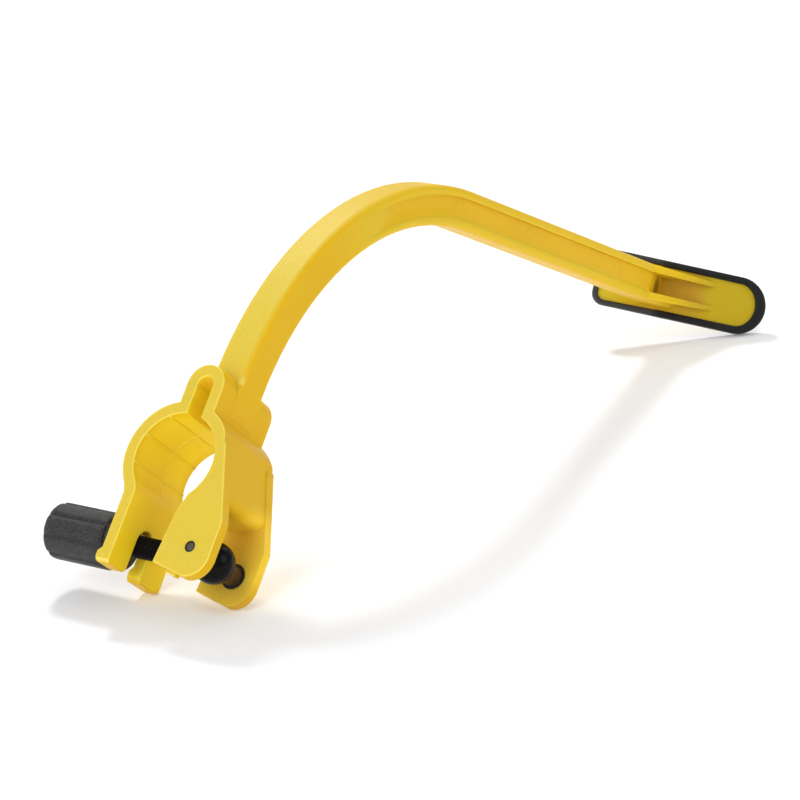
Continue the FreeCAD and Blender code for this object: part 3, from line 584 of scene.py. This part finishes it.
def edge_path(start, end):
    """Points and outward directions along the edging's outer line, from one seam round to the other."""
    made = []
    if end == "tip":
        made += [((long, -RIM_OUTER), (0, -1)) for long in np.linspace(start, 0, 14)]
        made += [((RIM_OUTER * math.sin(a), -RIM_OUTER * math.cos(a)), (math.sin(a), -math.cos(a)))
                 for a in np.linspace(0, math.pi, 49)[1:-1]]
        made += [((long, RIM_OUTER), (0, 1)) for long in np.linspace(0, start, 14)]
        return made
    back, high = -HEEL_OUTER + HEEL_ROUND, RIM_OUTER - HEEL_ROUND
    made += [((long, RIM_OUTER), (0, 1)) for long in np.linspace(start, back, 10)]
    for centre, low in (((back, high), 90), ((back, -high), 180)):
        for angle in np.radians(np.linspace(low, low + 90, 13)):
            out = (math.cos(angle), math.sin(angle))
            made.append(((centre[0] + HEEL_ROUND * out[0], centre[1] + HEEL_ROUND * out[1]), out))
    made += [((long, -RIM_OUTER), (0, -1)) for long in np.linspace(back, start, 10)]
    return made


def bead_section(width):
    """Half-round outline of the edging: (how far in from the outer line, how far out of the middle)."""
    half = RIM_THICK / 2
    lip = PLATE_THICK / 2 + 0.02
    bulge, round_in, corner = 1.9, 0.55, 0.16
    section = []
    for angle in np.radians(np.linspace(-90, 90, 15)):
        lift = math.copysign(abs(math.sin(angle)) ** 0.62, math.sin(angle))
        section.append((bulge - bulge * math.cos(angle) ** 0.9, half * lift))
    section += [(width - round_in, half), (width - corner, half - corner), (width, half - round_in)]
    section.append((width, lip))
    section += [(TONGUE_DEPTH, lip), (TONGUE_DEPTH, -lip)]
    section += [(width, -lip), (width, -half + round_in), (width - corner, -half + corner),
                (width - round_in, -half)]
    return section


def edging(name, node, start, end, width_at):
    """One of the two edgings, its lip as wide as width_at says for each distance along the paddle."""
    points, faces = [], []
    path = edge_path(start, end)
    middle = PLATE_LIFT - PLATE_THICK / 2
    count = len(bead_section(3.0))
    for (long, across), (out_long, out_across) in path:
        for depth, lift in bead_section(width_at(long)):
            points.append(on_paddle(long - depth * out_long, across - depth * out_across, middle + lift))
    faces += grid_faces(len(path), count)
    faces += [cap(0, count, True), cap((len(path) - 1) * count, count)]
    made = piece(name, points, faces, RUBBER, "arm", [node])
    sharpen(made, 60)
    return made


edging("edging_tip", "rim_tip", SEAM, "tip",
       lambda long: 2.8 + 1.5 * max(0.0, long / RIM_OUTER) ** 1.5 + 0.2 * max(0.0, 1 - long / SEAM))
edging("edging_heel", "rim_heel", SEAM - SEAM_GAP, "heel",
       lambda long: 2.1 + 0.5 * max(0.0, (long + 59) / 26))


# ---------------------------------------------------------------- moulded details of the clamp and arm

def strip(name, line, normals, width, height, body):
    """A low rounded rib along a line of points, standing out of a surface."""
    points, faces = [], []
    shape = [(-0.5, -0.25), (-0.42, 0.45), (-0.2, 0.92), (0.0, 1.0), (0.2, 0.92), (0.42, 0.45), (0.5, -0.25)]
    for index, (place, normal) in enumerate(zip(line, normals)):
        before, after = line[max(0, index - 1)], line[min(len(line) - 1, index + 1)]
        side = (after - before).cross(normal).normalized()
        for across, lift in shape:
            points.append(place + side * across * width + normal * lift * height)
    faces += grid_faces(len(line), len(shape))
    faces += [cap(0, len(shape), True), cap((len(line) - 1) * len(shape), len(shape))]
    return piece(name, points, faces, YELLOW_SKIN, body)


RIB_WIDTH, RIB_HEIGHT, RIB_END_GAP, RING_Y = 0.75, 0.28, 0.35, 18.6
LENGTHWISE = {"arm": (-28, 9, 46), "jaw": (120, 157, 194)}
RINGS = {"arm": (-44, 71), "jaw": (98, 217)}


def bore_rib(name, body, places):
    """A low rib on the bore's wall through (degrees round the bore, depth) places."""
    line, normals = [], []
    for degrees, depth in places:
        angle = math.radians(degrees)
        out = Vector((math.cos(angle), 0, math.sin(angle)))
        line.append(out * BORE_RADIUS + Vector((0, depth, 0)))
        normals.append(-out)
    return strip(name, line, normals, RIB_WIDTH, RIB_HEIGHT, body)


for body_name, angles in LENGTHWISE.items():
    depths = np.linspace(RIB_END_GAP, CLAMP_DEPTH - RIB_END_GAP, 12)
    for number, degrees in enumerate(angles, start=1):
        bore_rib(f"bore_rib_{body_name}_{number}", body_name, [(degrees, depth) for depth in depths])
    first, last = RINGS[body_name]
    around = np.linspace(first, last, 40)
    bore_rib(f"bore_ring_{body_name}", body_name, [(degrees, RING_Y) for degrees in around])


# The arm's flat recesses run out softly into the lower flange.
BEND_OUTER, FLANGE, RECESS, RECESS_START = 122.0, 3.4, 1.3, 42.0


def arm_place(radius, share, side_x):
    """A point on a line along the arm: round the bend for a share below one, then along the straight."""
    start = math.radians(RECESS_START)
    turn = math.pi / 2 - ARM_SLOPE
    if share <= 1.0:
        angle = start + (turn - start) * share
        return Vector((side_x, BEND_Y - radius * math.cos(angle), BEND_Z + radius * math.sin(angle)))
    end = Vector((side_x, BEND_Y - radius * math.cos(turn), BEND_Z + radius * math.sin(turn)))
    return end + ALONG * (share - 1.0) * RECESS_END


def recess_skin(name, sign):
    """The recess floor: it sinks in gently from the bend's start and curves up into the lower flange."""
    floor_x = ARM_X + sign * (ARM_WIDTH / 2 - RECESS)
    inner = BEND_OUTER - ARM_DEPTH + FLANGE
    top, high = 8.18, 1.28
    cove = [(0.0, high), (0.2, 1.10), (0.6, 0.84), (1.2, 0.56), (2.0, 0.31), (2.9, 0.13), (3.8, 0.04),
            (4.6, 0.02), (6.4, 0.02), (top, 0.02)]
    skin_end = 1.0 + 141.0 / RECESS_END
    shares = list(np.linspace(0.0, 1.0, 56)) + list(np.linspace(1.0, skin_end, 24))[1:]
    points = []
    for share in shares:
        sunk = min(1.0, share * 3.0)
        ramp = high * (1 - sunk * sunk * (3 - 2 * sunk))
        for up, out in cove:
            points.append(arm_place(inner + up, share, floor_x + sign * max(out, ramp)))
        for up in (top, 0.0):
            points.append(arm_place(inner + up, share, floor_x - sign * 0.3))
    count = len(cove) + 2
    faces = grid_faces(len(shares), count)
    faces += [cap(0, count, True), cap((len(shares) - 1) * count, count)]
    made = piece(name, points, faces, YELLOW_SKIN, "arm")
    sharpen(made, 50)
    return made


recess_skin("recess_skin_right", 1)
recess_skin("recess_skin_left", -1)


def ejector_mark(name, place):
    """A faint ring left by a moulding ejector on the recess floor."""
    around, section = 40, 8
    radius, half_width, height = 2.9, 0.16, 0.17
    points = []
    for k in range(around):
        out = ALONG * math.cos(math.tau * k / around) + ACROSS * math.sin(math.tau * k / around)
        for m in range(section):
            turn = math.tau * m / section
            across, lift = half_width * math.cos(turn), height * math.sin(turn)
            points.append(place + out * (radius + across) + SIDE * lift)
    faces = grid_faces(around, section, wrap_rows=True)
    return piece(name, points, faces, YELLOW_SKIN, "arm")


RECESS_FLOOR = ARM_X + ARM_WIDTH / 2 - RECESS
MARK_SHARES = (0.905, 1.0 + 45.4 / RECESS_END, 1.0 + 114.0 / RECESS_END)
for number, share in enumerate(MARK_SHARES, start=1):
    ejector_mark(f"ejector_mark_{number}", arm_place(BEND_MIDDLE, share, RECESS_FLOOR))


def toe_stop():
    """The small block behind the front ear's toe."""
    low, high = Vector((10.4, 3.9, -38.6)), Vector((15.0, 7.2, -36.4))
    slope = 0.21
    points = [(x, y, z - (x - low.x) * slope)
              for x in (low.x, high.x) for y in (low.y, high.y) for z in (low.z, high.z)]
    faces = [(0, 1, 3, 2), (4, 6, 7, 5), (0, 4, 5, 1), (2, 3, 7, 6), (0, 2, 6, 4), (1, 5, 7, 3)]
    made = piece("ear_toe_stop", points, faces, YELLOW, "arm")
    bevel(made, 0.6)
    return made


toe_stop()


def flex_skin():
    """The loop's springy leg over the slit, a fixed skin that rides on no body."""
    proud, soft = 0.03, 0.5
    left, right = LOOP_X - LOOP_OUTER - proud, LOOP_X - LOOP_INNER + proud
    near, far = -proud, CLAMP_DEPTH + proud
    outline = []
    for cx, cy, start in ((left + soft, near + soft, 180), (right - soft, near + soft, 270),
                          (right - soft, far - soft, 0), (left + soft, far - soft, 90)):
        for angle in np.radians(np.linspace(start, start + 90, 6)):
            outline.append((cx + soft * math.cos(angle), cy + soft * math.sin(angle)))
    heights = np.linspace(21.0, 26.6, 29)
    points = [(x, y, z) for z in heights for x, y in outline]
    count = len(outline)
    faces = grid_faces(len(heights), count)
    faces += [cap(0, count, True), cap((len(heights) - 1) * count, count)]
    made = piece("flex_leg_skin", points, faces, YELLOW, None)
    sharpen(made, 40)
    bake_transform(made)
    return made


flex_skin()


# ---------------------------------------------------------------- camera, floor and light

def look_matrix(place, away, down):
    """A camera or light at a place, looking along away, with the picture's lower edge towards down."""
    back, up = -Vector(away).normalized(), -Vector(down).normalized()
    right = up.cross(back).normalized()
    up = back.cross(right)
    return Matrix.Translation(place) @ Matrix((right, up, back)).transposed().to_4x4()


CAMERA_PLACE = (721.74, -925.35, -262.67)
CAMERA_AWAY = (-0.5515, 0.79446, 0.25432)
CAMERA_DOWN = (0.14395, 0.39094, -0.90909)
camera = bpy.data.objects.new("camera", bpy.data.cameras.new("camera"))
bpy.context.scene.collection.objects.link(camera)
camera.data.lens, camera.data.sensor_width = 160.18, 36.0
camera.data.clip_end = 50.0
camera.matrix_world = look_matrix(to_row(CAMERA_PLACE), to_row(CAMERA_AWAY), to_row(CAMERA_DOWN))
bpy.context.scene.camera = camera

HALF_FLOOR, FLOOR_GAP = 6.0, 0.0002
floor_corners = [(x * HALF_FLOOR, y * HALF_FLOOR, 0) for x, y in ((-1, -1), (1, -1), (1, 1), (-1, 1))]
floor_mesh = bpy.data.meshes.new("floor")
floor_mesh.from_pydata(floor_corners, [], [(0, 1, 2, 3)])
floor_mesh.materials.append(pale_floor())
floor = bpy.data.objects.new("floor", floor_mesh)
bpy.context.scene.collection.objects.link(floor)
floor.location.z = cad_box[0].z - FLOOR_GAP

to_camera = (camera.matrix_world.translation - Vector((0, 0.15, 0))).normalized()
front = Vector((to_camera.x, to_camera.y, 0)).normalized()
right = Vector((-front.y, front.x, 0))


def area_light(name, place, aim, size, watts):
    """A white round lamp at a place, turned towards another, its size in metres."""
    data = bpy.data.lights.new(name, "AREA")
    data.shape, data.size, data.energy = "DISK", size, watts
    made = bpy.data.objects.new(name, data)
    bpy.context.scene.collection.objects.link(made)
    made.matrix_world = look_matrix(place, aim - place, Vector((0.01, 0.02, -1)))
    return made


TARGET = Vector((0.0, 0.14, 0.0))
area_light("key", TARGET - front * 1.02 - right * 0.25 + Vector((0, 0, 1.12)), TARGET, 0.30, 11.5)
area_light("front_fill", TARGET + front * 1.5 - right * 1.0 + Vector((0, 0, 1.0)), TARGET, 1.4, 21.0)
area_light("right_fill", TARGET + front * 0.7 + right * 1.4 + Vector((0, 0, 0.7)), TARGET, 1.2, 5.0)
area_light("paddle_fill", Vector((0.10, 0.36, 0.22)), Vector((0.08, 0.32, -0.05)), 0.15, 0.09)

world = bpy.data.worlds.new("world")
bpy.context.scene.world = world
world.use_nodes = True
sky = world.node_tree.nodes["Background"]
sky.inputs["Color"].default_value = (1.0, 1.0, 1.0, 1.0)
sky.inputs["Strength"].default_value = 0.50
bpy.context.scene.view_settings.view_transform = "Standard"
